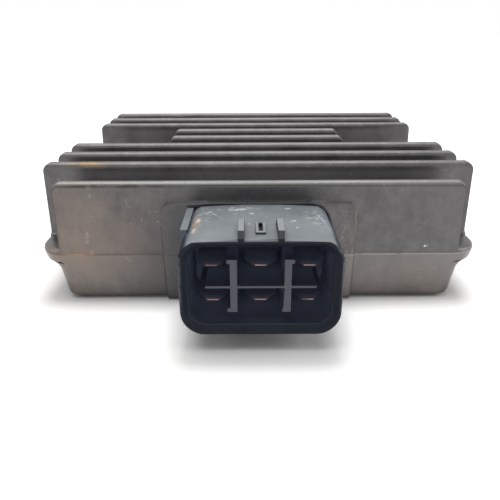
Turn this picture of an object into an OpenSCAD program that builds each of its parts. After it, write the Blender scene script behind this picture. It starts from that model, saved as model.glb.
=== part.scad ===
// Voltage regulator rectifier for a small engine's charging system.
// A finned die-cast housing holds a six-way socket in its front wall. The electronics sit
// under the ceiling of the cavity below the fins, and potting compound seals them in.
// The origin is midway between the two mounting holes, on the face that rests on the frame.
// X runs along the fins, Y from the socket to the back, Z up. Millimetres.

/* [Base plate] */
// Length of the base plate along the fins
plate_l = 101.6; // [100:0.2:112]
// Height of the plate's top face above the mounting face
plate_top = 13; // [12.5:0.1:14.9]
// Metal between the cavity's ceiling and the plate's top face
ceiling_t = 3.6; // [2.6:0.1:3.8]
// Thickness of the plate's brim at the sides
brim_t = 3.4; // [3:0.1:4.5]
// How far the brim stands out past the side walls under it
brim_overhang = 4.1; // [3.4:0.1:4.8]
// How far the brim's lower edge is drawn in at the sides
brim_taper = 0.9; // [0.4:0.1:1.3]
// Radius of the plate's front corners, seen from above
front_corner_r = 7; // [5:0.1:8]
// Radius of the plate's rear corners, seen from above
rear_corner_r = 3; // [2:0.1:6]
// Radius of the plate's rounded top edge
edge_r = 1.1; // [0.6:0.05:1.4]
// How far the parting ridge stands out of the walls
ridge = 0.15; // [0.05:0.05:0.4]

/* [Lower walls] */
// Thickness of the walls round the cavity, above their rounded foot
tub_wall = 3.6; // [3:0.1:4]
// Thickness of the front wall at the socket's slot, above its rounded foot
slot_wall = 2.4; // [2:0.1:2.8]
// Slope of the front and rear walls below the parting ridge, in degrees
end_draft = 6; // [4:0.5:8]
// Slope of the side walls below the brim, in degrees
side_draft = 7.3; // [4:0.1:9]
// Radius of the rounded edge at the foot of the walls
foot_r = 1.8; // [1:0.1:2.5]
// Radius of the lower walls' front corners, seen from above
tub_corner_r = 2.8; // [2:0.1:4]
// Radius of the cavity's corners, seen from above
cavity_corner_r = 4; // [2:0.1:6]

/* [Fins] */
// Number of fins behind the front wall
fin_count = 8; // [8:2:10]
// Number of short fins in the middle, between the mounting holes
short_fin_count = 2; // [2:2:4]
// Distance from one fin to the next
fin_pitch = 10.2; // [9.4:0.1:11.4]
// Height of the fin tips above the mounting face
fin_top = 30.5; // [28.4:0.1:36]
// Thickness of a fin at its rounded tip
fin_tip_t = 2.3; // [1.8:0.1:2.8]
// Slope of a fin's two faces, in degrees
fin_draft = 1; // [0.5:0.1:1.5]
// Slope of a fin's two ends, in degrees
fin_end_draft = 1.5; // [0.5:0.1:3]
// Distance from the plate's side edge to the root of a full fin's end
fin_inset = 0.35; // [0.3:0.05:3]
// Radius of a fin's upper corners
fin_corner_r = 2.2; // [1.2:0.1:4]
// Size of the fillet at a fin's root
root_fillet = 0.9; // [0.4:0.1:1.5]

/* [Front wall] */
// Distance from the first fin back to the front wall, centre to centre
front_bay = 10.2; // [9.6:0.1:12]
// How much lower the front wall is than the fins
wall_drop = 1.7; // [0.5:0.1:2.5]
// Distance from the plate's side edge to the root of the front wall's end
wall_inset = 5.6; // [5.4:0.1:8]
// Half length of the raised pad round the socket
pad_half = 21.6; // [20.5:0.1:26]
// How far the pad stands out of the wall
pad_proud = 0.7; // [0.3:0.1:1.2]
// Radius of the pad's upper corners
pad_corner_r = 2.4; // [1:0.1:4]
// Metal of the pad above the socket
pad_margin = 0.3; // [0.1:0.1:1]

/* [Mounting holes] */
// Distance between the two mounting holes
hole_spacing = 80; // [76:0.5:84]
// Diameter of a mounting hole, clear of an M6 screw
hole_d = 6.6; // [5.5:0.1:7]
// Metal round a mounting hole
boss_wall = 3; // [2.5:0.1:3.4]
// Diameter of the raised seat for the screw head
seat_d = 15; // [13:0.5:16]
// Height of the raised seat above the plate
seat_h = 1.2; // [0.4:0.1:2]
// Distance from a hole's axis to the end of the short fins
bolt_clear = 14.6; // [12:0.1:18]

/* [Socket] */
// Outer height of the socket
hood_h = 20.2; // [19.5:0.1:20.6]
// Height of the socket's underside above the mounting face
hood_bottom = 3.8; // [3.4:0.1:4.2]
// How far the socket reaches out of the front wall
hood_reach = 20.3; // [18:0.1:26]
// Wall thickness of the socket
hood_wall = 1.6; // [1.2:0.1:1.8]
// Radius of the socket's upper corners
hood_top_r = 5; // [4:0.1:6]
// Radius of the socket's lower corners
hood_bottom_r = 5.2; // [4:0.1:6]
// Radius of the gentle crown over the socket's top
hood_crown_r = 200; // [150:10:400]
// Chamfer round the outside of the socket's mouth
mouth_chamfer = 0.3; // [0.2:0.1:0.4]
// Size of the lead-in round the inside of the socket's mouth
lead_in = 0.9; // [0.3:0.1:1]
// Thickness of the socket's inner back wall
back_wall = 2.2; // [1.6:0.1:2.6]
// Depth of the socket from its mouth to its back wall
socket_depth = 17.6; // [16:0.1:18.5]
// Thickness of the flange behind the front wall
flange_t = 2; // [1.5:0.1:2.2]
// How far the flange reaches past the slot on each side
flange_lap = 2.2; // [1.5:0.1:2.4]
// Clearance of the socket in its slot and chamber
slot_clear = 0.1; // [0.05:0.05:0.2]

/* [Socket ribs] */
// Distance between the two upright webs in the socket, centre to centre
web_spacing = 10.4; // [10:0.1:10.6]
// Thickness of an upright web
web_t = 1.4; // [1:0.1:1.6]
// Height of an upright web
web_h = 11.3; // [10.6:0.1:12.5]
// Depth of the webs' front faces behind the mouth
web_depth = 1.5; // [0.5:0.1:4]
// Thickness of the cross web between the two rows
cross_t = 0.5; // [0.4:0.1:0.8]
// Width of the cross web
cross_w = 21.4; // [16:0.2:24]
// Distance between the two guide ribs on top of the socket, centre to centre
guide_spacing = 7.3; // [5.5:0.1:10]
// Width of a guide rib
guide_w = 1.2; // [0.8:0.1:1.8]
// Height of a guide rib at the mouth
guide_h = 1.9; // [1:0.1:2.5]
// Length of a guide rib
guide_l = 8.6; // [6:0.1:12]
// Length of the latch frame between the guide ribs
latch_l = 5.4; // [4:0.1:7]
// Width of the latch frame
latch_w = 1.9; // [1.4:0.1:2.6]
// Width of the key rib at the socket's left upper corner
key_w = 1.5; // [1:0.1:2]
// Length of the key rib out of the front wall
key_l = 13; // [9:0.1:16]

/* [Terminals] */
// Width of a terminal's blade
blade_w = 6.3; // [4.8:0.1:6.3]
// Thickness of the terminals' metal
blade_t = 0.8; // [0.6:0.1:0.9]
// Distance between two blades side by side
blade_pitch = 9.45; // [9.3:0.05:9.6]
// Room between the outer blades and the socket's side walls
cell_room = 1.4; // [1.2:0.1:2]
// Height of the lower row above the mounting face
lower_row_z = 9.55; // [9.5:0.05:9.9]
// Distance between the two rows
row_pitch = 7.55; // [7:0.05:8]
// Depth of the blade tips behind the mouth
tip_depth = 4; // [2.5:0.1:8]
// Width of a blade's flat tip
tip_w = 2.2; // [1.6:0.1:4]
// Length of a blade's tapered nose
nose_l = 3; // [1.5:0.1:4]
// Width of a terminal's inner leg
leg_w = 2.8; // [2:0.1:2.9]
// Gap between the upper and the lower row's legs, seen from the front
leg_split = 0.7; // [0.5:0.1:1]
// Length of a terminal's foot on the board
foot_lap = 4.2; // [3:0.1:5]

/* [Electronics] */
// Clearance between the power board's ends and the metal round the mounting holes
board_side_gap = 2.4; // [1.2:0.1:3]
// Distance from the socket's chamber to the power board's front edge
board_front_gap = 6; // [5:0.1:7]
// Clearance between the power board and the cavity's rear wall
board_rear_gap = 4.4; // [2:0.1:6]
// Thickness of the power board
board_t = 1.6; // [1:0.1:1.8]
// Thickness of the insulating sheet over the board
sheet_t = 0.3; // [0.2:0.05:0.5]
// How far the insulating sheet reaches past the board
sheet_margin = 0.6; // [0.2:0.1:1]
// Distance between the power devices, centre to centre
device_pitch = 18; // [15:0.5:20]
// Length of a power device's body along the fins
device_l = 10; // [8:0.1:10.4]
// Depth of a power device's body
device_d = 8.8; // [7:0.1:9.2]
// Height of a power device's body
device_h = 4.3; // [3:0.1:4.5]
// Width of a bus bar
bar_w = 3; // [2:0.1:3.6]
// Thickness of a bus bar
bar_t = 0.8; // [0.5:0.1:1.2]
// Diameter of the smoothing capacitor
capacitor_d = 5; // [4:0.1:6]
// Height of the smoothing capacitor
capacitor_h = 4.4; // [3:0.1:4.8]
// Depth of the potting compound's face below the mounting face
potting_gap = 0.8; // [0.3:0.1:1.2]

/* [Hidden] */
$fn = 48;

// A cut runs this far past the faces that it opens
over = 1;
// Pieces of one casting or moulding run this far into each other
sink = 0.5;

casting_grey = [0.36, 0.35, 0.34];
plastic_black = [0.12, 0.13, 0.15];
terminal_metal = [0.74, 0.55, 0.45];

// Heights
ceiling_z = plate_top - ceiling_t;
brim_z = plate_top - brim_t;
parting_z = plate_top - edge_r;
wall_top = fin_top - wall_drop;
hood_w = 2 * (blade_pitch + blade_w / 2 + cell_room + hood_wall);
hood_top = hood_bottom + hood_h;
hood_mid_z = hood_bottom + hood_h / 2;

// The fins stand evenly about the line of the mounting holes
function fin_y(i) = (i - (fin_count - 1) / 2) * fin_pitch;
tip_r = fin_tip_t / 2;
function root_half(height) =
    tip_r * cos(fin_draft) + (height - tip_r + tip_r * sin(fin_draft)) * tan(fin_draft);
fin_height = fin_top - plate_top;
wall_height = wall_top - plate_top;
wall_y = fin_y(0) - front_bay;
first_fin_face = fin_y(0) - root_half(fin_height);
fin_l = plate_l - 2 * fin_inset;
short_fin_l = hole_spacing - 2 * bolt_clear;
first_short = (fin_count - short_fin_count) / 2;
wall_l = plate_l - 2 * wall_inset;

// The plate ends flush with the front wall and the last fin, apart from the ridge
plate_front = wall_y - root_half(wall_height) - ridge;
plate_rear = fin_y(fin_count - 1) + root_half(fin_height) + ridge;

// How far the lower walls lie inside the plate's outline at a height
function end_inset(z) = ridge + (parting_z - z) * tan(end_draft);
function side_inset(z) = brim_overhang + (brim_z - z) * tan(side_draft);

// Inner faces of the walls round the cavity
cavity_half = plate_l / 2 - side_inset(foot_r) - tub_wall;
cavity_front = plate_front + end_inset(foot_r) + tub_wall;
chamber_front = plate_front + end_inset(foot_r) + slot_wall;
cavity_rear = plate_rear - end_inset(foot_r) - tub_wall;
boss_r = hole_d / 2 + boss_wall;

// The chamber behind the front wall, which holds the socket's flange and the legs
flange_half = hood_w / 2 + flange_lap;
chamber_half = flange_half + slot_clear;
chamber_top = hood_top - hood_wall;
chamber_roof = 2.1;
chamber_cheek = 2.2;

// The socket along Y
mouth_y = plate_front - hood_reach;
back_y = mouth_y + socket_depth;
flange_rear = chamber_front + flange_t;
pad_face = wall_y - root_half(wall_height) - pad_proud;

// The terminals
shoulder_y = back_y + back_wall / 2;
upper_row_z = lower_row_z + row_pitch;
leg_gap = 0.9;
lower_leg_y = flange_rear + leg_gap / 2;
upper_leg_y = lower_leg_y + blade_t + leg_gap;

// The electronics, downwards from the ceiling, and the places of the control parts along X
sheet_z = ceiling_z - sheet_t;
board_z = sheet_z - board_t;
board_l = hole_spacing - 2 * (boss_r + board_side_gap);
board_front = first_fin_face + board_front_gap;
board_d = cavity_rear - board_rear_gap - board_front;
foot_end_y = board_front + foot_lap;
device_tab_l = 1.6;
device_lead_l = 2.5;
gate_part_d = 1.4;
gate_part_x = 3;
part_gap = 0.4;
positive_bar_y = foot_end_y + 3;
thyristor_y = positive_bar_y + bar_w + device_tab_l + device_d / 2;
gate_row_y = thyristor_y + device_d / 2 + device_lead_l + part_gap + gate_part_d / 2;
diode_y = gate_row_y + gate_part_d / 2 + part_gap + device_lead_l + device_d / 2;
ground_bar_y = diode_y + device_d / 2 + device_tab_l;
control_y = ground_bar_y + bar_w + 4.2;
chip_x = -14;
zener_x = 11;
chip_capacitor_x = [19, 23.5];

// A slice of a solid with rounded corners: its height and how far it lies inside the plate's
// sides, front and rear
module slice(z, side, front, rear) {
    half = plate_l / 2 - side;
    front_r = max(front_corner_r - side, tub_corner_r);
    rear_r = max(rear_corner_r - side, 1);
    for (s = [-1, 1]) {
        translate([s * (half - front_r), plate_front + front + front_r, z])
            cylinder(r = front_r, h = 0.01, $fn = 32);
        translate([s * (half - rear_r), plate_rear - rear - rear_r, z])
            cylinder(r = rear_r, h = 0.01, $fn = 32);
    }
}

// The brim and plate, with a rounded top edge and a softened lower edge at the sides
module plate_body() {
    soft_z = brim_z + 0.8;
    hull() {
        slice(brim_z, brim_taper, end_inset(brim_z), end_inset(brim_z));
        slice(soft_z, brim_taper / 3, end_inset(soft_z), end_inset(soft_z));
        slice(parting_z, 0, 0, 0);
        for (a = [30:30:90])
            slice(
                parting_z + edge_r * sin(a),
                edge_r * (1 - cos(a)),
                edge_r * (1 - cos(a)),
                edge_r * (1 - cos(a))
            );
    }
}

// The walls round the cavity, sloping in to a rounded foot
module tub_body() {
    hull() {
        for (a = [0:30:90]) {
            z = foot_r * (1 - cos(a));
            end_in = end_inset(foot_r) + foot_r * (1 - sin(a));
            slice(z, side_inset(foot_r) + foot_r * (1 - sin(a)), end_in, end_in);
        }
        slice(brim_z, side_inset(brim_z), end_inset(brim_z), end_inset(brim_z));
    }
    // A fillet under the brim
    flare = 1.5;
    flare_z = brim_z - flare;
    hull() {
        slice(flare_z, side_inset(flare_z), end_inset(flare_z), end_inset(flare_z));
        slice(brim_z, side_inset(brim_z) - flare, end_inset(brim_z), end_inset(brim_z));
    }
}

// Cross-section of a fin over its height, with a full round tip and a fillet at its root on
// the sides that are asked for; x is across the fin and y is up from the plate
module fin_section(height, front_fillet, rear_fillet) {
    centre = height - tip_r;
    tangent = [tip_r * cos(fin_draft), centre + tip_r * sin(fin_draft)];
    half = root_half(height);
    polygon([
        [-half, -sink],
        [half, -sink],
        [half, 0],
        tangent,
        [0, height],
        [-tangent.x, tangent.y],
        [-half, 0],
    ]);
    translate([0, centre]) circle(tip_r);
    f = root_fillet;
    flare = [[-sink / 2, -sink], [f, -sink], [f, 0], [0.3 * f, 0.3 * f], [0, f], [-sink / 2, f]];
    if (rear_fillet) translate([half, 0]) polygon(flare);
    if (front_fillet) translate([-half, 0]) polygon([for (p = flare) [-p.x, p.y]]);
}

// Elevation of a fin along its length, with sloping ends and rounded upper corners
module fin_elevation(length, height) {
    b = fin_end_draft;
    rise = height - fin_corner_r;
    corner_x = length / 2 - fin_corner_r * cos(b) - (rise + fin_corner_r * sin(b)) * tan(b);
    tangent = [corner_x + fin_corner_r * cos(b), rise + fin_corner_r * sin(b)];
    polygon([
        [-length / 2, -sink],
        [length / 2, -sink],
        [length / 2, 0],
        tangent,
        [corner_x, height],
        [-corner_x, height],
        [-tangent.x, tangent.y],
        [-length / 2, 0],
    ]);
    for (s = [-1, 1]) translate([s * corner_x, rise]) circle(fin_corner_r);
}

// One fin, standing on the plate at a place along Y
module fin(y, length, height, front_fillet, rear_fillet) {
    thick = fin_tip_t + 2 * root_fillet + 4;
    translate([0, y, plate_top])
        intersection() {
            translate([-length / 2 - over, 0, 0])
                rotate([90, 0, 90])
                    linear_extrude(length + 2 * over) fin_section(height, front_fillet, rear_fillet);
            translate([0, thick / 2, 0])
                rotate([90, 0, 0]) linear_extrude(thick) fin_elevation(length, height);
        }
}

module fins() {
    for (i = [0:fin_count - 1]) {
        is_short = i >= first_short && i < first_short + short_fin_count;
        fin(fin_y(i), is_short ? short_fin_l : fin_l, fin_height, true, i < fin_count - 1);
    }
    fin(wall_y, wall_l, wall_height, false, true);
}

// Outline seen from the front, with its own radius for the upper and the lower corners
module front_outline(half, z0, z1, top_r, bottom_r) {
    translate([-half, z0 + bottom_r]) square([2 * half, z1 - top_r - z0 - bottom_r]);
    translate([-half + bottom_r, z0]) square([2 * (half - bottom_r), bottom_r + 0.1]);
    translate([-half + top_r, z1 - top_r - 0.1]) square([2 * (half - top_r), top_r + 0.1]);
    for (s = [-1, 1]) {
        translate([s * (half - bottom_r), z0 + bottom_r]) circle(bottom_r);
        translate([s * (half - top_r), z1 - top_r]) circle(top_r);
    }
}

// A solid with an outline seen from the front, from one place along Y to another
module along_y(y0, y1) {
    translate([0, y1, 0]) rotate([90, 0, 0]) linear_extrude(y1 - y0) children();
}

// The raised pad round the socket, which follows the slope of the lower wall
module socket_pad() {
    pad_top = hood_top + pad_margin;
    intersection() {
        along_y(pad_face, chamber_front)
            union() {
                translate([-pad_half, -over]) square([2 * pad_half, pad_top - pad_corner_r + over]);
                translate([-pad_half + pad_corner_r, 0])
                    square([2 * (pad_half - pad_corner_r), pad_top]);
                for (s = [-1, 1])
                    translate([s * (pad_half - pad_corner_r), pad_top - pad_corner_r])
                        circle(pad_corner_r);
            }
        translate([-pad_half - over, 0, 0])
            rotate([90, 0, 90])
                linear_extrude(2 * (pad_half + over))
                    polygon([
                        [chamber_front, 0],
                        [pad_face + (parting_z - foot_r) * tan(end_draft) + foot_r / 3, 0],
                        [pad_face + (parting_z - foot_r) * tan(end_draft), foot_r / 3],
                        [pad_face, parting_z],
                        [pad_face, pad_top + over],
                        [chamber_front, pad_top + over],
                    ]);
    }
}

// Plan of the cavity: a rounded rectangle less the columns of metal round the two holes
module cavity_plan() {
    length = 2 * cavity_half;
    depth = cavity_rear - cavity_front;
    r = cavity_corner_r;
    difference() {
        union() {
            translate([-cavity_half + r, cavity_front]) square([length - 2 * r, depth]);
            translate([-cavity_half, cavity_front + r]) square([length, depth - 2 * r]);
            for (x = [-cavity_half + r, cavity_half - r], y = [cavity_front + r, cavity_rear - r])
                translate([x, y]) circle(r);
        }
        for (s = [-1, 1]) translate([s * hole_spacing / 2, 0]) {
            circle(boss_r);
            translate([s > 0 ? 0 : -boss_r * 2, -boss_r]) square(2 * boss_r);
        }
    }
}

// Outline of the slot in the front wall: the socket's own outline, open downwards
module slot_outline(grow, z_low) {
    front_outline(
        hood_w / 2 + grow, hood_bottom - grow, hood_top + grow, hood_top_r + grow, hood_bottom_r + grow
    );
    translate([-hood_w / 2 - grow, z_low]) square([hood_w + 2 * grow, hood_mid_z - z_low]);
}

// The die-cast housing: plate, lower walls, fins, front wall, pad and socket chamber, with the
// cavity open downwards and two through holes for the mounting screws
module heatsink_housing() {
    block_half = chamber_half + chamber_cheek;
    block_top = chamber_top + chamber_roof;
    color(casting_grey)
        difference() {
            union() {
                plate_body();
                tub_body();
                fins();
                socket_pad();
                // The chamber's block in the first bay
                translate([-block_half, wall_y, plate_top - sink])
                    cube([2 * block_half, fin_y(0) - wall_y, block_top - plate_top + sink]);
                // The columns round the mounting holes, and the seats for the screw heads
                for (s = [-1, 1]) translate([s * hole_spacing / 2, 0, 0]) {
                    cylinder(r = boss_r, h = plate_top - sink);
                    translate([0, 0, plate_top - sink]) cylinder(d = seat_d, h = seat_h + sink);
                }
            }
            // The cavity under the plate
            translate([0, 0, -over]) linear_extrude(ceiling_z + over) cavity_plan();
            // The chamber behind the socket
            translate([-chamber_half, chamber_front, -over])
                cube([2 * chamber_half, first_fin_face - chamber_front, chamber_top + over]);
            // The slot for the socket
            along_y(pad_face - over, chamber_front + 0.01) slot_outline(slot_clear, -over);
            // The mounting holes
            for (s = [-1, 1])
                translate([s * hole_spacing / 2, 0, -over])
                    cylinder(d = hole_d, h = plate_top + seat_h + 2 * over);
        }
}

// The upright and cross webs in the socket, with the small end flanges that key the plug. The
// webs' feet stay clear of the lower blades.
module socket_webs() {
    lip = 0.9;
    blade_clear = 0.15;
    web_z = lower_row_z - blade_t / 2 - blade_clear - lip;
    cross_z = hood_mid_z - 0.3;
    y0 = mouth_y + web_depth;
    depth = back_y - y0 + 0.1;
    for (s = [-1, 1])
        translate([s * web_spacing / 2 - web_t / 2, y0, web_z]) cube([web_t, depth, web_h]);
    // The left web's flanges point left at both ends
    for (z = [web_z, web_z + web_h - lip])
        translate([-web_spacing / 2 - web_t / 2 - 0.6, y0, z]) cube([0.7, depth, lip]);
    // The right web's flanges point right at the top and left at the foot
    translate([web_spacing / 2 + web_t / 2 - 0.1, y0, web_z + web_h - lip]) cube([0.6, depth, lip]);
    translate([web_spacing / 2 - web_t / 2 - 0.3, y0, web_z]) cube([0.4, depth, lip]);
    translate([-cross_w / 2, y0, cross_z - cross_t / 2]) cube([cross_w, depth, cross_t]);
}

// A guide rib on top of the socket: its back end slopes down to the surface
module guide_rib(x) {
    ramp = 2.4;
    translate([x - guide_w / 2, 0, hood_top])
        rotate([90, 0, 90])
            linear_extrude(guide_w)
                polygon([
                    [mouth_y, -0.3],
                    [mouth_y, guide_h],
                    [mouth_y + guide_l - ramp, guide_h],
                    [mouth_y + guide_l, 0],
                    [mouth_y + guide_l, -0.3],
                ]);
}

// The raised frame with a slot that the plug's latch snaps on
module latch_frame() {
    rise = 0.5;
    slot_w = 0.75;
    front = 2.6;
    translate([-latch_w / 2, mouth_y + front, hood_top - 0.3])
        difference() {
            cube([latch_w, latch_l, rise + 0.3]);
            translate([(latch_w - slot_w) / 2, 0.9, 0.1]) cube([slot_w, latch_l - 1.8, rise + over]);
        }
}

// The moulded socket: an open hood, a back wall that the blades pass through, and a plug and
// flange that slide up into the housing's slot
module connector_shell() {
    plug_face = chamber_front - slot_wall + 0.3;
    color(plastic_black)
        difference() {
            union() {
                difference() {
                    union() {
                        hood_outside();
                        along_y(plug_face, chamber_front) slot_outline(0, 0);
                        // The flange closes the slot from inside
                        translate([-flange_half, chamber_front, potting_gap])
                            cube([2 * flange_half, flange_t, chamber_top - slot_clear - potting_gap]);
                        for (s = [-1, 1]) guide_rib(s * guide_spacing / 2);
                        latch_frame();
                        // The key rib fills the left upper corner near the wall
                        translate([-hood_w / 2, pad_face - key_l, hood_mid_z + 2])
                            cube([key_w, key_l - slot_clear, hood_top - 0.6 - hood_mid_z - 2]);
                    }
                    // The socket's inside, its lead-in, and the hollow behind its back wall
                    along_y(mouth_y - over, back_y) hood_inside(0);
                    lead_in_cut();
                    along_y(back_y + back_wall, flange_rear + over) hood_inside(0);
                }
                socket_webs();
            }
            terminals_in_back_wall();
        }
}

// The hood from its mouth to the flange, with a crowned top and a chamfer round the mouth
module hood_outside() {
    half = hood_w / 2;
    c = mouth_chamfer;
    depth = chamber_front - mouth_y;
    intersection() {
        along_y(mouth_y, chamber_front)
            intersection() {
                front_outline(half, hood_bottom, hood_top, hood_top_r, hood_bottom_r);
                translate([0, hood_top - hood_crown_r]) circle(hood_crown_r, $fn = 180);
            }
        translate([-half - over, mouth_y, 0])
            rotate([90, 0, 90])
                linear_extrude(hood_w + 2 * over)
                    polygon([
                        [0, hood_bottom + c],
                        [c, hood_bottom],
                        [depth, hood_bottom],
                        [depth, hood_top],
                        [c, hood_top],
                        [0, hood_top - c],
                    ]);
        translate([0, mouth_y, 0])
            linear_extrude(hood_top + over)
                polygon([
                    [-half + c, 0],
                    [half - c, 0],
                    [half, c],
                    [half, depth],
                    [-half, depth],
                    [-half, c],
                ]);
    }
}

// Outline of the socket's inside, grown outwards by a distance
module hood_inside(grow) {
    front_outline(
        hood_w / 2 - hood_wall + grow,
        hood_bottom + hood_wall - grow,
        hood_top - hood_wall + grow,
        hood_top_r - hood_wall + grow,
        hood_bottom_r - hood_wall + grow
    );
}

// The sloping lead-in that guides the plug into the socket's mouth
module lead_in_cut() {
    hull() {
        along_y(mouth_y - 0.01, mouth_y) hood_inside(lead_in);
        along_y(mouth_y, mouth_y + lead_in) hood_inside(0);
    }
}

// One terminal: a blade with a tapered, coined nose, a narrower strip behind the back wall, a
// leg bent down in the chamber and a foot on the board. The upper row's legs stand to the right
// and behind, the lower row's to the left and in front.
module terminal(column, upper) {
    tip_y = mouth_y + tip_depth;
    z = upper ? upper_row_z : lower_row_z;
    leg_y = upper ? upper_leg_y : lower_leg_y;
    strip_x = upper ? leg_split / 2 : -leg_split / 2 - leg_w;
    foot_z = board_z - blade_t;
    coin = 0.25;
    color(terminal_metal)
        translate([column * blade_pitch, 0, 0]) {
            intersection() {
                translate([0, 0, z - blade_t / 2])
                    linear_extrude(blade_t)
                        polygon([
                            [-tip_w / 2, tip_y],
                            [tip_w / 2, tip_y],
                            [blade_w / 2, tip_y + nose_l],
                            [blade_w / 2, shoulder_y],
                            [-blade_w / 2, shoulder_y],
                            [-blade_w / 2, tip_y + nose_l],
                        ]);
                translate([-blade_w, 0, z])
                    rotate([90, 0, 90])
                        linear_extrude(2 * blade_w)
                            polygon([
                                [tip_y, -blade_t / 2 + coin],
                                [tip_y + 1, -blade_t / 2],
                                [shoulder_y + over, -blade_t / 2],
                                [shoulder_y + over, blade_t / 2],
                                [tip_y + 1, blade_t / 2],
                                [tip_y, blade_t / 2 - coin],
                            ]);
            }
            translate([strip_x, shoulder_y - sink, z - blade_t / 2])
                cube([leg_w, leg_y + blade_t - shoulder_y + sink, blade_t]);
            translate([strip_x, leg_y, foot_z]) cube([leg_w, blade_t, z + blade_t / 2 - foot_z]);
            translate([strip_x, leg_y, foot_z]) cube([leg_w, foot_end_y - leg_y, blade_t]);
        }
}

// The phases are on the lower row, the outputs and the sense line on the upper one
module terminal_phase_1() { terminal(-1, false); }
module terminal_phase_2() { terminal(0, false); }
module terminal_phase_3() { terminal(1, false); }
module terminal_battery() { terminal(-1, true); }
module terminal_ground() { terminal(0, true); }
module terminal_sense() { terminal(1, true); }

// Where the blades and strips pass through the socket's back wall
module terminals_in_back_wall() {
    for (column = [-1:1], upper = [false, true]) terminal(column, upper);
}

module insulating_sheet() {
    color([0.85, 0.83, 0.72])
        translate([-board_l / 2 - sheet_margin, board_front - sheet_margin, sheet_z])
            cube([board_l + 2 * sheet_margin, board_d + 2 * sheet_margin, sheet_t]);
}

module power_board() {
    color([0.75, 0.76, 0.74])
        translate([-board_l / 2, board_front, board_z]) cube([board_l, board_d, board_t]);
}

// A power device under the board: a moulded body with chamfered sides on a metal tab, and two
// leads bent up to the board. Its tab points to the front, or to the back when turned.
module power_device(x, y, turned) {
    tab_t = 1.3;
    chamfer = 0.5;
    lead_w = 0.8;
    color([0.1, 0.1, 0.11])
        translate([x, y, board_z])
            rotate([0, 0, turned ? 180 : 0]) {
                translate([-device_l / 2, 0, 0])
                    rotate([90, 0, 90])
                        linear_extrude(device_l)
                            polygon([
                                [-device_d / 2, 0],
                                [-device_d / 2, -tab_t],
                                [-device_d / 2 + chamfer, -device_h],
                                [device_d / 2 - chamfer, -device_h],
                                [device_d / 2, -tab_t],
                                [device_d / 2, 0],
                            ]);
                translate([-device_l / 2 + chamfer, -device_d / 2 - device_tab_l, -tab_t])
                    cube([device_l - 2 * chamfer, device_tab_l + 0.1, tab_t]);
                for (s = [-1, 1])
                    translate([s * device_l / 4 - lead_w / 2, device_d / 2 - 0.1, -tab_t])
                        cube([lead_w, device_lead_l + 0.1, tab_t]);
            }
}

module thyristor_1() { power_device(-device_pitch, thyristor_y, false); }
module thyristor_2() { power_device(0, thyristor_y, false); }
module thyristor_3() { power_device(device_pitch, thyristor_y, false); }
module diode_1() { power_device(-device_pitch, diode_y, true); }
module diode_2() { power_device(0, diode_y, true); }
module diode_3() { power_device(device_pitch, diode_y, true); }

// A straight copper bar under the board
module bus_bar(y) {
    bar_l = 2 * device_pitch + device_l + 4;
    color([0.72, 0.42, 0.28])
        translate([-bar_l / 2, y, board_z - bar_t]) cube([bar_l, bar_w, bar_t]);
}

module positive_bus_bar() { bus_bar(positive_bar_y); }
module ground_bus_bar() { bus_bar(ground_bar_y); }

// The control chip: a moulded body with a row of leads along each long side
module control_chip() {
    body = [9.9, 3.9, 1.5];
    lead_pitch = 1.27;
    lead_count = 7;
    lead = [0.4, 1, 0.6];
    lead_y = body.y / 2 + 0.4;
    color([0.09, 0.09, 0.1])
        translate([chip_x, control_y, board_z]) {
            translate([-body.x / 2, -body.y / 2, -body.z]) cube(body);
            for (i = [0:lead_count - 1], s = [-1, 1])
                translate([(i - (lead_count - 1) / 2) * lead_pitch, s * lead_y, 0])
                    translate([-lead.x / 2, -lead.y / 2, -lead.z])
                        cube(lead);
        }
}

// The can capacitor, on its square base
module smoothing_capacitor() {
    base_t = 1;
    can_d = capacitor_d - 0.3;
    color([0.62, 0.63, 0.65])
        translate([0, control_y, board_z]) {
            translate([-capacitor_d / 2, -capacitor_d / 2, -base_t])
                cube([capacitor_d, capacitor_d, base_t]);
            translate([0, 0, -capacitor_h]) cylinder(d = can_d, h = capacitor_h - base_t + 0.1);
        }
}

// A small two-lead part: a block with an end cap at each end, touching the board
module chip_part(x, y, size) {
    cap = 0.5;
    translate([x - size.x / 2, y - size.y / 2, board_z - size.z]) cube(size);
    for (s = [-1, 1])
        translate([x + s * (size.x / 2 + cap / 2) - cap / 2 - 0.05, y - size.y / 2, board_z - size.z / 2])
            cube([cap + 0.1, size.y, size.z / 2]);
}

module sense_zener() {
    body = [4.2, 2.6, 2];
    color([0.12, 0.12, 0.13]) chip_part(zener_x, control_y, body);
}

module gate_diodes() {
    body = [2.6, gate_part_d, 1.1];
    color([0.13, 0.13, 0.14])
        for (column = [-1:1]) chip_part(column * device_pitch + gate_part_x, gate_row_y, body);
}

module gate_resistors() {
    body = [2, 1.2, 0.6];
    color([0.2, 0.2, 0.22])
        for (column = [-1:1]) chip_part(column * device_pitch - gate_part_x, gate_row_y, body);
}

module chip_capacitors() {
    body = [2, 1.25, 0.9];
    color([0.6, 0.5, 0.38])
        for (x = chip_capacitor_x) chip_part(x, control_y, body);
}

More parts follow.
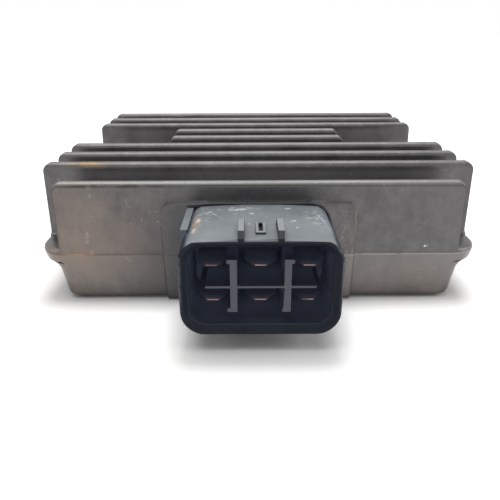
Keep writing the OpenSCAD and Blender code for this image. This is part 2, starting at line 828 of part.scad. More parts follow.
// The compound fills the cavity, the chamber and the hollow behind the socket's back wall, and
// closes on every inner piece. Its face lies a little below the mounting face.
module potting_compound() {
    color([0.07, 0.07, 0.08])
        difference() {
            union() {
                translate([0, 0, potting_gap]) linear_extrude(ceiling_z - potting_gap) cavity_plan();
                translate([-chamber_half, flange_rear, potting_gap])
                    cube([2 * chamber_half, first_fin_face - flange_rear, chamber_top - potting_gap]);
                along_y(back_y + back_wall, flange_rear + 0.1) hood_inside(0);
            }
            // Room for the flange, but not for the hollow inside it
            difference() {
                translate([-flange_half, chamber_front - over, -over])
                    cube([2 * flange_half, flange_t + over, chamber_top + 2 * over]);
                along_y(chamber_front - 2 * over, flange_rear + over) hood_inside(0);
            }
            for (column = [-1:1], upper = [false, true]) terminal(column, upper);
            insulating_sheet();
            power_board();
            for (column = [-1:1]) {
                power_device(column * device_pitch, thyristor_y, false);
                power_device(column * device_pitch, diode_y, true);
            }
            positive_bus_bar();
            ground_bus_bar();
            control_chip();
            smoothing_capacitor();
            sense_zener();
            gate_diodes();
            gate_resistors();
            chip_capacitors();
        }
}

heatsink_housing();
connector_shell();
terminal_phase_1();
terminal_phase_2();
terminal_phase_3();
terminal_battery();
terminal_ground();
terminal_sense();
insulating_sheet();
power_board();
thyristor_1();
thyristor_2();
thyristor_3();
diode_1();
diode_2();
diode_3();
positive_bus_bar();
ground_bus_bar();
control_chip();
smoothing_capacitor();
sense_zener();
gate_diodes();
gate_resistors();
chip_capacitors();
potting_compound();
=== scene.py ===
import math

import bmesh
import bpy
from mathutils import Matrix, Vector


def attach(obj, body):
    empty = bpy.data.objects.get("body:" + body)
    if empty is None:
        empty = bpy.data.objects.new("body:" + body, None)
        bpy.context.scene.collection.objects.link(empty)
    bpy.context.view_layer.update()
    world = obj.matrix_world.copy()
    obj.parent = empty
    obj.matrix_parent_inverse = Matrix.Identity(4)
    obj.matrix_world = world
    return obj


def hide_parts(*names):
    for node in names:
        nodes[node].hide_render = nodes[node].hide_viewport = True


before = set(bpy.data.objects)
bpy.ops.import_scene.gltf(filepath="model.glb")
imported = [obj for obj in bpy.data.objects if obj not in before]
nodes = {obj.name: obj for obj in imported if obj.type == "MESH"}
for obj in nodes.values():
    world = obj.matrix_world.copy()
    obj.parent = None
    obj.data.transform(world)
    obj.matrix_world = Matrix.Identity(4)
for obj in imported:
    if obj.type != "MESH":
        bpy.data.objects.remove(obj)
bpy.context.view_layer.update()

# The camera stands in front of the socket and looks down on the part, with the middle fins
# one behind the other. Its place is in mm, in the part's own frame.
MM = 0.001
scene = bpy.context.scene
camera_place = Vector((-2.14, -150.63, 59.02)) * MM
camera_pitch = math.radians(24.02)
camera_yaw = math.radians(-0.07)
camera_roll = math.radians(-0.22)
turn = Matrix.Rotation(camera_yaw, 3, "Z")
ahead = turn @ Vector((0, math.cos(camera_pitch), -math.sin(camera_pitch)))
above = turn @ Vector((0, math.sin(camera_pitch), math.cos(camera_pitch)))
beside = turn @ Vector((1, 0, 0))
side_axis = math.cos(camera_roll) * beside + math.sin(camera_roll) * above
up_axis = math.cos(camera_roll) * above - math.sin(camera_roll) * beside
camera_data = bpy.data.cameras.new("camera")
camera_data.lens = 36
camera_data.sensor_width = 36
camera_data.clip_start = 0.005
camera_data.clip_end = 20
camera = bpy.data.objects.new("camera", camera_data)
camera.matrix_world = Matrix.Translation(camera_place) @ Matrix(
    (side_axis, up_axis, -ahead)
).transposed().to_4x4()
scene.collection.objects.link(camera)
scene.camera = camera

# The table is a plain white sheet. Close round the part it shows only its own colour, light
# and shadow; away from the part it goes over into the white of the room.
table_half = 3.0
table_drop = 0.1 * MM
table_form = bmesh.new()
bmesh.ops.create_grid(table_form, x_segments=1, y_segments=1, size=table_half)
bmesh.ops.translate(table_form, verts=table_form.verts, vec=(0, 0, -table_drop))
table_mesh = bpy.data.meshes.new("white_table")
table_form.to_mesh(table_mesh)
table_form.free()
table = bpy.data.objects.new("white_table", table_mesh)
scene.collection.objects.link(table)


def ranged(tree, value, low, high, to_low=0.0, to_high=1.0):
    """A value brought from one range to another, held at the ends."""
    ramp = tree.nodes.new("ShaderNodeMapRange")
    ramp.inputs["From Min"].default_value = low
    ramp.inputs["From Max"].default_value = high
    ramp.inputs["To Min"].default_value = to_low
    ramp.inputs["To Max"].default_value = to_high
    tree.links.new(value, ramp.inputs["Value"])
    return ramp.outputs["Result"]


def sums(tree, operation, a, b=0.0):
    """One step of arithmetic on a value and another value or number."""
    step = tree.nodes.new("ShaderNodeMath")
    step.operation = operation
    for socket, term in zip(step.inputs, (a, b)):
        if isinstance(term, (int, float)):
            socket.default_value = term
        else:
            tree.links.new(term, socket)
    return step.outputs[0]


def seen_white(tree):
    """1 for what the eye sees directly, in a reflection or through glass, otherwise 0."""
    path = tree.nodes.new("ShaderNodeLightPath")
    seen = path.outputs["Is Camera Ray"]
    for ray in ("Is Glossy Ray", "Is Transmission Ray"):
        seen = sums(tree, "MAXIMUM", seen, path.outputs[ray])
    return seen


def outside_box(tree, place, centre, half):
    """How far a place lies outside an upright box, in metres; centre and half are in mm."""
    steps = (("SUBTRACT", centre), ("ABSOLUTE", None), ("SUBTRACT", half), ("MAXIMUM", (0, 0, 0)))
    for operation, term in steps:
        step = tree.nodes.new("ShaderNodeVectorMath")
        step.operation = operation
        tree.links.new(place, step.inputs[0])
        if term is not None:
            step.inputs[1].default_value = Vector(term) * MM
        place = step.outputs["Vector"]
    length = tree.nodes.new("ShaderNodeVectorMath")
    length.operation = "LENGTH"
    tree.links.new(place, length.inputs[0])
    return length.outputs["Value"]


paper = bpy.data.materials.new("table_paper")
paper.use_nodes = True
tree = paper.node_tree
tree.nodes.clear()
out = tree.nodes.new("ShaderNodeOutputMaterial")
add = tree.nodes.new("ShaderNodeAddShader")
sheet = tree.nodes.new("ShaderNodeBsdfDiffuse")
sheet.inputs["Color"].default_value = (0.90, 0.90, 0.90, 1)
place = tree.nodes.new("ShaderNodeTexCoord").outputs["Object"]
clear_of_casting = outside_box(tree, place, (-0.7, -4.5, 0), (46.3, 40.5, 40))
clear_of_socket = outside_box(tree, place, (0, -57, 0), (13, 12.5, 40))
clear_of_part = sums(tree, "MINIMUM", clear_of_casting, clear_of_socket)
clear_of_middle = outside_box(tree, place, (0, 0, 0), (0, 0, 0))
whiteness = sums(
    tree,
    "ADD",
    ranged(tree, clear_of_part, 1.9 * MM, 8.8 * MM, 0.0, 0.50),
    ranged(tree, clear_of_middle, 200 * MM, 900 * MM, 0.0, 0.55),
)
glow = tree.nodes.new("ShaderNodeEmission")
glow.inputs["Color"].default_value = (1, 1, 1, 1)
tree.links.new(sums(tree, "MULTIPLY", seen_white(tree), whiteness), glow.inputs["Strength"])
tree.links.new(sheet.outputs[0], add.inputs[0])
tree.links.new(glow.outputs[0], add.inputs[1])
tree.links.new(add.outputs[0], out.inputs["Surface"])
table_mesh.materials.append(paper)

# The room round the table gives an even dim light from all sides. The eye, and a shiny
# surface, see it as plain white.
room_light = 0.17
room_white = 1.0
world = bpy.data.worlds.new("studio")
scene.world = world
world.use_nodes = True
tree = world.node_tree
tree.nodes.clear()
out = tree.nodes.new("ShaderNodeOutputWorld")
back = tree.nodes.new("ShaderNodeBackground")
back.inputs["Color"].default_value = (1, 1, 1, 1)
room = ranged(tree, seen_white(tree), 0, 1, room_light, room_white)
tree.links.new(room, back.inputs["Strength"])
tree.links.new(back.outputs[0], out.inputs["Surface"])
scene.view_settings.view_transform = "Standard"


# Four soft boxes: a large one overhead and a little behind, and a smaller one on each side
# and in front. Places and sizes are in metres, and the power is in watts.
def soft_box(name, place, aim, size, power):
    """A rectangular lamp at a place, turned to its aim."""
    data = bpy.data.lights.new(name, "AREA")
    data.shape = "RECTANGLE"
    data.size, data.size_y = size
    data.energy = power
    data.color = (1.0, 0.99, 0.98)
    lamp = bpy.data.objects.new(name, data)
    lamp.location = place
    lamp.rotation_euler = (Vector(aim) - Vector(place)).to_track_quat("-Z", "Y").to_euler()
    scene.collection.objects.link(lamp)
    return lamp


soft_box("overhead_box", (-0.05, 0.06, 0.80), (0, -0.02, 0), (0.9, 0.7), 6.0)
soft_box("left_box", (-0.85, -0.15, 0.45), (0, 0, 0.01), (0.5, 0.5), 0.9)
soft_box("right_box", (0.85, -0.10, 0.45), (0, 0, 0.01), (0.5, 0.5), 2.6)
front_box = soft_box("front_box", (0.0, -0.90, 0.35), (0, -0.06, 0.01), (0.6, 0.3), 1.2)
front_box.visible_glossy = False


def softened(node, name, width):
    """A copy of a node's mesh, merged, with its sharp edges rounded to a width in metres."""
    form = bmesh.new()
    form.from_mesh(nodes[node].data)
    bmesh.ops.remove_doubles(form, verts=form.verts, dist=0.002 * MM)
    bmesh.ops.dissolve_limit(
        form,
        angle_limit=math.radians(0.6),
        use_dissolve_boundaries=False,
        verts=form.verts,
        edges=form.edges,
        delimit={"NORMAL"},
    )
    sharp_angle = math.radians(32)
    shortest = 3 * width
    room_beside = 1.2 * width
    sharp = [
        edge
        for edge in form.edges
        if edge.calc_face_angle(0) > sharp_angle
        and edge.calc_length() > shortest
        and all(
            other.calc_length() > room_beside for end in edge.verts for other in end.link_edges
        )
    ]
    bmesh.ops.bevel(
        form,
        geom=sharp,
        offset=width,
        offset_type="OFFSET",
        segments=2,
        profile=0.5,
        affect="EDGES",
        clamp_overlap=False,
        material=-1,
    )
    for face in form.faces:
        face.smooth = True
        face.material_index = 0
    for edge in form.edges:
        edge.smooth = edge.calc_face_angle(0) < sharp_angle
    mesh = bpy.data.meshes.new(name)
    form.to_mesh(mesh)
    form.free()
    piece = bpy.data.objects.new(name, mesh)
    scene.collection.objects.link(piece)
    piece.modifiers.new("even shading", "WEIGHTED_NORMAL").keep_sharp = True
    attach(piece, "root")
    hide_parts(node)
    return piece


def new_material(name):
    """A material with its shader, and its Object coordinates."""
    material = bpy.data.materials.new(name)
    material.use_nodes = True
    tree = material.node_tree
    tree.nodes.clear()
    out = tree.nodes.new("ShaderNodeOutputMaterial")
    shader = tree.nodes.new("ShaderNodeBsdfPrincipled")
    tree.links.new(shader.outputs[0], out.inputs["Surface"])
    place = tree.nodes.new("ShaderNodeTexCoord").outputs["Object"]
    return material, tree, shader, place


def split_axes(tree, vector):
    """The x, y and z of a place or a direction."""
    axes = tree.nodes.new("ShaderNodeSeparateXYZ")
    tree.links.new(vector, axes.inputs[0])
    return axes.outputs["X"], axes.outputs["Y"], axes.outputs["Z"]


def between(tree, value, low, high, to_low=0.0, to_high=1.0):
    """A share that goes from 0 to 1 between two places or distances in mm."""
    return ranged(tree, value, low * MM, high * MM, to_low, to_high)


def where_all(tree, *shares):
    """A share that holds where all of the given shares do."""
    whole, *others = shares
    for share in others:
        whole = sums(tree, "MULTIPLY", whole, share)
    return whole


def where_any(tree, *shares):
    """A share that holds where any of the given shares does."""
    whole, *others = shares
    for share in others:
        whole = sums(tree, "MAXIMUM", whole, share)
    return whole


def noise(tree, place, scale, detail=4, rough=0.55, distort=0.0, stretch=None):
    """Cloudy pattern; scale is in repeats a metre."""
    if stretch:
        mapping = tree.nodes.new("ShaderNodeMapping")
        mapping.inputs["Scale"].default_value = stretch
        tree.links.new(place, mapping.inputs["Vector"])
        place = mapping.outputs[0]
    pattern = tree.nodes.new("ShaderNodeTexNoise")
    pattern.inputs["Scale"].default_value = scale
    pattern.inputs["Detail"].default_value = detail
    pattern.inputs["Roughness"].default_value = rough
    pattern.inputs["Distortion"].default_value = distort
    tree.links.new(place, pattern.inputs["Vector"])
    return pattern.outputs["Fac"]


def mixed(tree, share, under, over):
    """One colour laid over another by a share."""
    mix = tree.nodes.new("ShaderNodeMix")
    mix.data_type = "RGBA"
    tree.links.new(share, mix.inputs["Factor"])
    under_socket, over_socket, result = mix.inputs[6], mix.inputs[7], mix.outputs[2]
    for socket, colour in ((under_socket, under), (over_socket, over)):
        if isinstance(colour, tuple):
            socket.default_value = (*colour, 1)
        else:
            tree.links.new(colour, socket)
    return result


def laid(tree, colour, share, strength, tint):
    """A tint laid over a colour by a share and a strength."""
    return mixed(tree, sums(tree, "MULTIPLY", share, strength), colour, tint)


def bumped(tree, shader, height, depth, over=None):
    """Relief on a surface, its depth in metres, laid over other normals where given."""
    relief = tree.nodes.new("ShaderNodeBump")
    relief.inputs["Strength"].default_value = 1
    relief.inputs["Distance"].default_value = depth
    tree.links.new(height, relief.inputs["Height"])
    if over is not None:
        tree.links.new(over, relief.inputs["Normal"])
    tree.links.new(relief.outputs[0], shader.inputs["Normal"])


def spot(tree, place, centre, radii, soft=0.35):
    """A share of 1 at a place on the part that falls to 0 at the radii, all in mm."""
    mapping = tree.nodes.new("ShaderNodeMapping")
    mapping.vector_type = "TEXTURE"
    mapping.inputs["Location"].default_value = Vector(centre) * MM
    mapping.inputs["Scale"].default_value = Vector(radii) * MM
    tree.links.new(place, mapping.inputs["Vector"])
    length = tree.nodes.new("ShaderNodeVectorMath")
    length.operation = "LENGTH"
    tree.links.new(mapping.outputs[0], length.inputs[0])
    return ranged(tree, length.outputs["Value"], 1.0, soft)


def near_line(tree, place, start, end, width):
    """A share of 1 on a straight mark that falls to 0 at its width, in mm."""

    def vector_step(operation, *terms):
        step = tree.nodes.new("ShaderNodeVectorMath")
        step.operation = operation
        for socket, term in zip(step.inputs, terms):
            if isinstance(term, Vector):
                socket.default_value = term
            else:
                tree.links.new(term, socket)
        return step

    run = (Vector(end) - Vector(start)) * MM
    away = vector_step("SUBTRACT", place, Vector(start) * MM).outputs["Vector"]
    along = vector_step("DOT_PRODUCT", away, run / run.length_squared).outputs["Value"]
    reach = vector_step("SCALE", run)
    tree.links.new(ranged(tree, along, 0.0, 1.0), reach.inputs["Scale"])
    gap = vector_step("DISTANCE", away, reach.outputs["Vector"]).outputs["Value"]
    return between(tree, gap, width, 0.4 * width)


def laid_marks(tree, place, colour, marks, breakup):
    """Marks of (start, end, width, tint, strength) over a colour, broken up by a pattern."""
    for start, end, width, tint, strength in marks:
        share = where_all(tree, near_line(tree, place, start, end, width), breakup)
        colour = laid(tree, colour, share, strength, tint)
    return colour


cast_skin, tree, shader, place = new_material("cast_skin")
x, y, z = split_axes(tree, place)
face_y = -47.3
wall_back_y = -44.5
parting_z = 11.95
clouds = noise(tree, place, 75, detail=5, rough=0.66, distort=0.5, stretch=(1.35, 1.35, 0.7))
patches = noise(tree, place, 300, detail=5, rough=0.65)
grain = noise(tree, place, 2300, detail=3, rough=0.65)
flecks = noise(tree, place, 1100, detail=2, rough=0.5)
cloudy = ranged(tree, clouds, 0.34, 0.66)
above_parting = mixed(tree, cloudy, (0.086, 0.083, 0.086), (0.122, 0.117, 0.118))
below_parting = mixed(tree, cloudy, (0.136, 0.128, 0.123), (0.184, 0.174, 0.168))
over_parting = between(tree, z, parting_z - 0.15, parting_z + 0.15)
colour = mixed(tree, over_parting, below_parting, above_parting)
colour = mixed(tree, ranged(tree, patches, 0.42, 0.72, 0.0, 0.4), colour, (0.185, 0.178, 0.173))
# Pale dust lies deep between the fins, and there it also lifts their shade as painted fill light
pale_dust_and_fill_tint = (0.26, 0.254, 0.257)
bay_dust_and_fill_light = where_all(
    tree,
    between(tree, y, wall_back_y - 0.5, wall_back_y + 0.5),
    between(tree, sums(tree, "ABSOLUTE", x), 47, 36),
    between(tree, z, 29.3, 27.9),
)
colour = laid(tree, colour, bay_dust_and_fill_light, 0.43, pale_dust_and_fill_tint)
# Their tips and the front wall's lip are rubbed a little brighter, which also paints a highlight
# on them
rubbed_and_highlit_fin_tips = between(tree, z, 29.6, 30.3, 0.0, 0.15)
rubbed_and_highlit_wall_lip = where_all(
    tree,
    between(tree, z, 27.9, 28.5, 0.0, 0.45),
    between(tree, y, wall_back_y + 0.5, wall_back_y - 0.5),
)
colour = mixed(tree, where_any(tree, rubbed_and_highlit_fin_tips, rubbed_and_highlit_wall_lip), colour, (0.245, 0.238, 0.235))
# Painted shade round the socket, mixed with grime, most of all low down on its left and just
# above it
grime_and_painted_shade = where_all(
    tree,
    where_any(
        tree,
        spot(tree, place, (-9, -48, 13), (30, 5, 19), 0.35),
        spot(tree, place, (0, -48, 25), (23, 5, 6), 0.3),
    ),
    ranged(tree, clouds, 0.25, 0.60, 0.6, 1.0),
)
colour = laid(tree, colour, grime_and_painted_shade, 0.60, (0.045, 0.045, 0.050))
# A bluish painted shade beside the socket's lower left
painted_shade_beside_socket = spot(tree, place, (-19, -48, 3), (11, 5, 26), 0.3)
colour = laid(tree, colour, painted_shade_beside_socket, 0.53, (0.042, 0.044, 0.054))
# Warm dirt on the left of the front wall and along its foot
foot_dirt = sums(tree, "MULTIPLY", spot(tree, place, (34, -46, 2), (20, 6, 11), 0.2), 0.5)
dirt = where_all(
    tree,
    where_any(tree, spot(tree, place, (-46, -47, 14), (30, 6, 22), 0.2), foot_dirt),
    ranged(tree, clouds, 0.30, 0.62, 0.25, 1.0),
)
colour = laid(tree, colour, dirt, 0.75, (0.225, 0.175, 0.144))
# Pores and rubbed specks all over
pores = ranged(tree, grain, 0.63, 0.74, 0.0, 0.45)
colour = mixed(tree, pores, colour, (0.040, 0.038, 0.037))
rubbed = ranged(tree, flecks, 0.68, 0.76, 0.0, 0.35)
colour = mixed(tree, rubbed, colour, (0.34, 0.33, 0.32))
# The fine witness line of the die goes round the front wall's face; outside it, along the rounded
# edge, the face is paler with a painted highlight
front_half, front_top, front_round = 44.9 * MM, 27.9 * MM, 1.7 * MM
out_x = sums(tree, "SUBTRACT", sums(tree, "ABSOLUTE", x), front_half - front_round)
out_z = sums(tree, "SUBTRACT", z, front_top - front_round)
round_x = sums(tree, "POWER", sums(tree, "MAXIMUM", out_x, 0.0), 2.0)
round_z = sums(tree, "POWER", sums(tree, "MAXIMUM", out_z, 0.0), 2.0)
round_part = sums(tree, "SQRT", sums(tree, "ADD", round_x, round_z))
straight_part = sums(tree, "MINIMUM", sums(tree, "MAXIMUM", out_x, out_z), 0.0)
past_line = sums(tree, "SUBTRACT", sums(tree, "ADD", round_part, straight_part), front_round)
off_line = sums(tree, "ABSOLUTE", past_line)
on_front = where_all(
    tree,
    between(tree, y, -46.6, -46.8),
    between(tree, z, 13.0, 13.4),
    between(tree, x, 44.4, 42.5, 0.25, 1.0),
)
witness = where_all(tree, between(tree, off_line, 0.22, 0.05), on_front)
painted_edge_highlight = where_all(tree, between(tree, past_line, 0.1, 0.6), on_front)
dirty_lip = where_all(
    tree,
    between(tree, off_line, 0.55, 0.1),
    on_front,
    spot(tree, place, (-31, -47, 28), (15, 3, 3), 0.5),
    ranged(tree, patches, 0.42, 0.55),
)
colour = laid(tree, colour, painted_edge_highlight, 0.5, (0.25, 0.235, 0.216))
colour = laid(tree, colour, witness, 0.30, (0.05, 0.048, 0.046))
colour = laid(tree, colour, dirty_lip, 0.75, (0.035, 0.034, 0.033))
# The parting line: dirty on the left, rubbed bright on the right
off_parting = sums(tree, "ABSOLUTE", sums(tree, "SUBTRACT", z, parting_z * MM))
parting = where_all(
    tree, between(tree, off_parting, 0.20, 0.05), ranged(tree, patches, 0.30, 0.45)
)
left_parting = where_all(tree, parting, between(tree, x, 10, -10))
right_parting = where_all(tree, parting, between(tree, x, -10, 10))
colour = laid(tree, colour, left_parting, 0.6, (0.05, 0.047, 0.045))
colour = laid(tree, colour, right_parting, 0.45, (0.40, 0.38, 0.36))
# Pale dust in the corner between the socket's right shoulder and the wall, also lifting the
# shade of that crease as painted fill light, and brown specks of dirt below it
corner_dust_and_fill_light = spot(tree, place, (14.2, -47.5, 21.4), (3.0, 2.5, 3.6), 0.3)
colour = laid(tree, colour, corner_dust_and_fill_light, 0.35, pale_dust_and_fill_tint)
specks = where_all(
    tree,
    spot(tree, place, (19.0, -48, 13), (4.5, 4, 15), 0.3),
    ranged(tree, noise(tree, place, 1500, detail=3, rough=0.7), 0.52, 0.62),
)
colour = laid(tree, colour, specks, 0.5, (0.23, 0.185, 0.145))
# Rust on the parting line, and an ochre stain on the first fin's tip
rust_place = where_any(
    tree,
    spot(tree, place, (-41.0, -47.4, 12.0), (4.6, 3, 0.34)),
    spot(tree, place, (-37.9, -47.4, 12.6), (0.7, 3, 0.9)),
)
rust = where_all(tree, rust_place, ranged(tree, patches, 0.40, 0.56))
colour = laid(tree, colour, rust, 0.65, (0.38, 0.22, 0.14))
ochre_place = spot(tree, place, (-39.4, -36.1, 30.0), (6.4, 2, 1.2))
ochre = where_all(tree, ochre_place, ranged(tree, patches, 0.32, 0.52))
colour = laid(tree, colour, ochre, 0.65, (0.25, 0.175, 0.085))
# Scratches, nicks and smears on the front wall
pale = (0.46, 0.44, 0.42)
colour = laid_marks(
    tree,
    place,
    colour,
    (
        ((-29.2, face_y, 24.9), (-28.4, face_y, 23.2), 0.30, pale, 0.25),
        ((-24.3, face_y, 22.4), (-21.5, face_y, 22.0), 0.20, pale, 0.5),
        ((-22.5, face_y, 19.9), (-20.6, face_y, 18.4), 0.22, pale, 0.5),
        ((-30.0, face_y, 11.2), (-29.0, face_y, 9.6), 0.22, pale, 0.3),
        ((-36.8, face_y, 27.5), (-36.6, face_y, 25.6), 0.40, (0.36, 0.31, 0.29), 0.4),
        ((-38.3, face_y, 17.3), (-38.6, face_y, 14.9), 0.45, (0.36, 0.31, 0.27), 0.4),
        ((37.3, face_y, 13.8), (37.9, face_y, 13.9), 0.29, (0.70, 0.70, 0.70), 0.85),
        ((29.6, face_y, 3.8), (30.9, face_y, 4.0), 0.35, (0.045, 0.042, 0.04), 0.8),
        ((33.0, face_y, 28.0), (33.3, face_y, 28.0), 0.35, (0.04, 0.038, 0.036), 0.8),
        ((21.1, -48.0, 22.6), (21.6, -48.0, 16.0), 0.20, (0.25, 0.22, 0.19), 0.4),
        ((19.4, -48.0, 19.8), (21.2, -48.0, 12.5), 0.35, (0.20, 0.17, 0.14), 0.35),
        ((20.6, -48.0, 10.5), (21.3, -47.8, 3.0), 0.40, (0.23, 0.18, 0.14), 0.45),
        ((18.8, -47.8, 18.3), (18.2, -47.8, 16.1), 0.25, (0.30, 0.28, 0.25), 0.6),
    ),
    ranged(tree, flecks, 0.40, 0.52),
)
tree.links.new(colour, shader.inputs["Base Color"])
# Dust dulls the metal, the skin shines unevenly, and the corners of the die are rounded
dusty = where_any(tree, bay_dust_and_fill_light, corner_dust_and_fill_light)
tree.links.new(ranged(tree, dusty, 0.0, 1.0, 0.8, 0.65), shader.inputs["Metallic"])
skin_roughness = ranged(tree, sums(tree, "ADD", clouds, grain), 0.7, 1.3, 0.26, 0.40)
dust_roughness = ranged(tree, bay_dust_and_fill_light, 0.0, 1.0, 0.0, 0.14)
roughness = sums(tree, "ADD", skin_roughness, dust_roughness)
tree.links.new(roughness, shader.inputs["Roughness"])
coarse = sums(tree, "MULTIPLY", patches, 0.7)
fine = sums(tree, "MULTIPLY", grain, 0.35)
relief = sums(tree, "ADD", coarse, fine)
relief = sums(tree, "SUBTRACT", relief, sums(tree, "MULTIPLY", witness, 0.9))
rounds = tree.nodes.new("ShaderNodeBevel")
rounds.samples = 6
rounds.inputs["Radius"].default_value = 0.8 * MM
bumped(tree, shader, relief, 0.07 * MM, rounds.outputs["Normal"])

casting = softened("heatsink_housing", "cast_heatsink", 0.25 * MM)
casting.data.materials.append(cast_skin)

# The socket is one moulding in black glass-filled plastic that slides up into a slot in the
# casting's front wall. Its upward faces are hazed pale by weather, with a painted sheen of
# the light above, and scuffed by handling. Its rim stays black; inside it the black is
# painted paler as painted fill light.
socket_black, tree, shader, place = new_material("socket_black")
x, y, z = split_axes(tree, place)
facing = tree.nodes.new("ShaderNodeTexCoord").outputs["Normal"]
_, facing_y, facing_z = split_axes(tree, facing)
rim_y = -67.7
clouds = noise(tree, place, 160, detail=4, rough=0.6)
grain = noise(tree, place, 3500, detail=2, rough=0.5)
flecks = noise(tree, place, 900, detail=4, rough=0.6)
chips = noise(tree, place, 2000, detail=4, rough=0.7, distort=1.2)
cloudy = ranged(tree, clouds, 0.35, 0.65)
colour = mixed(tree, cloudy, (0.008, 0.011, 0.019), (0.013, 0.017, 0.028))
# Inside the mouth the black is painted paler towards the back as painted fill light; the
# webs' front edges are paler with dust and a painted highlight
mouth_half_w, mouth_half_h, mouth_mid_z, mouth_edge = 14.1, 8.6, 13.9, 0.5
off_middle = sums(tree, "ABSOLUTE", sums(tree, "SUBTRACT", z, mouth_mid_z * MM))
inside = where_all(
    tree,
    between(tree, sums(tree, "ABSOLUTE", x), mouth_half_w + mouth_edge, mouth_half_w),
    between(tree, off_middle, mouth_half_h + mouth_edge, mouth_half_h),
)
painted_fill_inside = where_all(tree, inside, between(tree, y, rim_y + 0.5, -59.0))
colour = mixed(tree, painted_fill_inside, colour, (0.215, 0.252, 0.360))
web_front_dust_and_highlight = where_all(
    tree, inside, between(tree, y, -66.0, -66.2), between(tree, y, -66.7, -66.4)
)
colour = laid(tree, colour, web_front_dust_and_highlight, 0.9, (0.122, 0.131, 0.157))
# Haze on the faces that look up, outside the socket, which is also a painted sheen of the light
# above, paler towards the front
upward = ranged(tree, facing_z, 0.08, 0.85)
haze_and_sheen = where_all(
    tree, upward, between(tree, z, 22.6, 23.0), ranged(tree, clouds, 0.25, 0.7, 0.75, 1.0)
)
haze_and_sheen_tint = mixed(tree, between(tree, y, -52, -62), (0.195, 0.218, 0.236), (0.262, 0.288, 0.305))
colour = mixed(tree, haze_and_sheen, colour, haze_and_sheen_tint)
# The key rib, the guide ribs and the latch frame stand proud and are rubbed paler, on top
# and at their front ends
proud = between(tree, z, 24.15, 24.40)
forward = ranged(tree, facing_y, -0.6, -0.9)
key_place = where_all(tree, between(tree, x, -14.1, -14.4), between(tree, y, -63.0, -62.0))
colour = laid(tree, colour, where_all(tree, proud, upward), 0.7, (0.31, 0.335, 0.35))
colour = laid(tree, colour, where_all(tree, forward, proud), 0.8, (0.085, 0.095, 0.108))
colour = mixed(tree, where_all(tree, forward, key_place), colour, (0.137, 0.149, 0.168))
# Pale scuffs and chips where the socket meets the wall and on its shoulders, and rusty dirt
# along its left upper edge
scuffed = where_all(
    tree,
    where_any(
        tree,
        spot(tree, place, (-4.6, -50.4, 24), (6.5, 2.2, 2), 0.1),
        spot(tree, place, (11.5, -55.5, 23.5), (3.2, 7, 2.5), 0.1),
        spot(tree, place, (-12.0, -54.5, 23.6), (2.6, 6.5, 2.2), 0.1),
    ),
    ranged(tree, flecks, 0.50, 0.60),
)
colour = laid(tree, colour, scuffed, 0.75, (0.50, 0.52, 0.53))
peppered = where_all(
    tree,
    where_any(
        tree,
        spot(tree, place, (0, -53.0, 24), (15, 5.5, 2), 0.1),
        spot(tree, place, (11.5, -56.0, 23.5), (4.5, 9, 2.5), 0.1),
    ),
    ranged(tree, chips, 0.56, 0.66),
)
colour = laid(tree, colour, peppered, 0.55, (0.46, 0.48, 0.49))
rusty_edge = spot(tree, place, (-12.6, -58.5, 23.4), (1.1, 6.5, 1.6))
rusty = where_all(tree, rusty_edge, ranged(tree, flecks, 0.44, 0.52))
colour = laid(tree, colour, rusty, 0.85, (0.50, 0.33, 0.22))
# Scratches and nicks on the top, and the rim's upright edges rubbed paler
top = 23.9
white = (0.66, 0.68, 0.69)
worn_edge = (0.15, 0.16, 0.17)
colour = laid_marks(
    tree,
    place,
    colour,
    (
        ((-13.1, -53.9, top), (-11.7, -52.1, top), 0.36, white, 0.8),
        ((-11.7, -52.1, top), (-10.2, -51.8, top), 0.40, white, 0.9),
        ((-10.2, -51.8, top), (-9.0, -54.0, top), 0.32, white, 0.9),
        ((-9.0, -54.0, top), (-7.4, -56.6, top), 0.16, white, 0.6),
        ((-6.1, -51.1, top), (-5.0, -51.1, top), 0.36, white, 0.5),
        ((-5.2, -51.2, top), (-3.4, -51.1, top), 0.60, white, 1.0),
        ((-5.3, -53.4, top), (-4.8, -53.2, top), 0.30, white, 0.6),
        ((-1.8, -53.4, top), (-1.4, -53.8, top), 0.50, white, 0.9),
        ((-0.2, -54.0, top), (0.3, -54.0, top), 0.26, white, 0.5),
        ((-2.2, -59.1, top), (-2.1, -59.8, top), 0.24, white, 0.6),
        ((5.6, -50.5, top), (6.3, -50.4, top), 0.46, white, 0.9),
        ((6.2, -57.9, top), (6.9, -57.6, top), 0.40, white, 0.9),
        ((7.0, -61.5, top), (7.2, -61.0, top), 0.30, white, 0.7),
        ((9.8, -56.1, top), (10.4, -55.9, top), 0.36, white, 0.7),
        ((10.4, -58.3, top), (12.2, -58.5, top), 0.34, white, 0.9),
        ((11.6, -52.8, top), (12.7, -56.8, 23.6), 0.32, white, 0.8),
        ((12.7, -56.8, 23.6), (13.6, -62.0, 23.1), 0.32, white, 0.5),
        ((13.6, -55.0, 23.1), (14.3, -61.0, 22.4), 0.24, white, 0.4),
        ((14.0, rim_y, 22.9), (15.4, rim_y, 20.8), 0.55, worn_edge, 0.9),
        ((15.4, rim_y, 20.8), (15.8, rim_y, 9.0), 0.50, worn_edge, 0.9),
        ((-15.5, rim_y, 20.2), (-15.8, rim_y, 11.0), 0.80, worn_edge, 0.7),
        ((-12.5, -57.4, 23.6), (-12.2, -56.0, 23.6), 0.55, white, 0.8),
        ((-12.9, -62.6, 23.4), (-12.8, -61.0, 23.4), 0.45, white, 0.9),
    ),
    ranged(tree, chips, 0.40, 0.54, 0.1, 1.0),
)
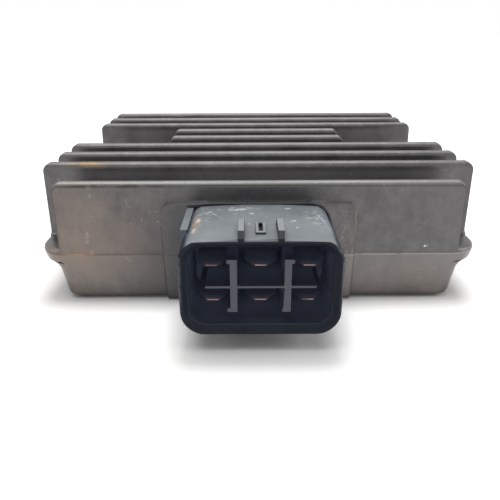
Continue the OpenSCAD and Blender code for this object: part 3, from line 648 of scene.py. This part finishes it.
# The latch slot is deep, and painted dark there as painted shade
slot_painted_shade = where_all(
    tree,
    between(tree, sums(tree, "ABSOLUTE", x), 0.50, 0.36),
    spot(tree, place, (0, -62.2, 24.0), (2, 2.5, 2.0), 0.8),
)
colour = mixed(tree, slot_painted_shade, colour, (0.010, 0.011, 0.014))
tree.links.new(colour, shader.inputs["Base Color"])
tree.links.new(ranged(tree, haze_and_sheen, 0.0, 1.0, 0.40, 0.50), shader.inputs["Roughness"])
shader.inputs["Specular IOR Level"].default_value = 0.14
bumped(tree, shader, grain, 0.03 * MM)

moulded_socket = softened("connector_shell", "moulded_socket", 0.12 * MM)
moulded_socket.data.materials.append(socket_black)

# The six terminals are stamped from tinned copper strip. They pass through the socket's back
# wall and stand with their feet on the board. The tin has gone dull and dark, and the cut
# edges at the blades' ends show the copper.
terminal_alloy, tree, shader, place = new_material("terminal_alloy")
_, y, _ = split_axes(tree, place)
facing = tree.nodes.new("ShaderNodeTexCoord").outputs["Normal"]
_, _, facing_z = split_axes(tree, facing)
tarnish = ranged(tree, noise(tree, place, 900, detail=3), 0.35, 0.65)
colour = mixed(tree, tarnish, (0.165, 0.192, 0.268), (0.200, 0.229, 0.312))
stained = ranged(tree, noise(tree, place, 420, detail=3), 0.40, 0.62)
copper = mixed(tree, stained, (0.15, 0.092, 0.105), (0.42, 0.245, 0.25))
cut_side = ranged(tree, sums(tree, "ABSOLUTE", facing_z), 0.6, 0.3)
# The blades' side faces are painted darker as painted shade
colour = laid(tree, colour, cut_side, 0.8, (0.072, 0.082, 0.112))
copper_side = where_all(tree, cut_side, between(tree, y, -62.9, -63.5, 0.0, 0.7))
copper_end = between(tree, y, -63.62, -63.70)
colour = mixed(tree, where_any(tree, copper_side, copper_end), colour, copper)
tree.links.new(colour, shader.inputs["Base Color"])
shader.inputs["Metallic"].default_value = 0.35
shader.inputs["Roughness"].default_value = 0.5
bumped(tree, shader, noise(tree, place, 2500, stretch=(1, 0.15, 1)), 0.01 * MM)
for name in ("phase_1", "phase_2", "phase_3", "battery", "ground", "sense"):
    nodes["terminal_" + name].data.materials.clear()
    nodes["terminal_" + name].data.materials.append(terminal_alloy)

# The potting compound is poured in through the open underside and sets to a smooth black
# face, a little below the rim.
potting_black, tree, shader, place = new_material("potting_black")
waves = noise(tree, place, 60, detail=3)
dust = ranged(tree, noise(tree, place, 1500, detail=3, rough=0.7), 0.55, 0.75, 0.0, 0.5)
colour = mixed(tree, dust, (0.020, 0.020, 0.022), (0.09, 0.088, 0.085))
tree.links.new(colour, shader.inputs["Base Color"])
tree.links.new(ranged(tree, waves, 0.3, 0.7, 0.28, 0.42), shader.inputs["Roughness"])
bumped(tree, shader, waves, 0.4 * MM)
nodes["potting_compound"].data.materials.clear()
nodes["potting_compound"].data.materials.append(potting_black)

# The electronics sit on a metal-backed board under the casting's plate, inside the compound,
# and never show. Each finish below is two colours that a cloudy pattern mixes, how metallic
# it is and how rough.
bare_copper = ((0.62, 0.33, 0.22), (0.75, 0.44, 0.30), 1.0, 0.35)
moulded = ((0.020, 0.020, 0.022), (0.035, 0.035, 0.038), 0.0, 0.5)
inner_finish = {
    "insulating_sheet": ((0.80, 0.78, 0.66), (0.86, 0.84, 0.74), 0.0, 0.6),
    "power_board": ((0.62, 0.64, 0.62), (0.72, 0.73, 0.71), 0.6, 0.45),
    "positive_bus_bar": bare_copper,
    "ground_bus_bar": bare_copper,
    "smoothing_capacitor": ((0.55, 0.56, 0.58), (0.66, 0.67, 0.69), 0.9, 0.3),
    "gate_resistors": ((0.03, 0.03, 0.035), (0.05, 0.05, 0.055), 0.0, 0.4),
    "chip_capacitors": ((0.42, 0.33, 0.22), (0.50, 0.40, 0.28), 0.0, 0.5),
    "thyristor_1": moulded,
    "thyristor_2": moulded,
    "thyristor_3": moulded,
    "diode_1": moulded,
    "diode_2": moulded,
    "diode_3": moulded,
    "control_chip": moulded,
    "sense_zener": moulded,
    "gate_diodes": moulded,
}
finish_made = {}
for name, finish in inner_finish.items():
    if finish not in finish_made:
        dark, light, metallic, roughness = finish
        material, tree, shader, place = new_material("inner_" + name)
        share = ranged(tree, noise(tree, place, 700, detail=3), 0.35, 0.65)
        tree.links.new(mixed(tree, share, dark, light), shader.inputs["Base Color"])
        shader.inputs["Metallic"].default_value = metallic
        shader.inputs["Roughness"].default_value = roughness
        finish_made[finish] = material
    nodes[name].data.materials.clear()
    nodes[name].data.materials.append(finish_made[finish])
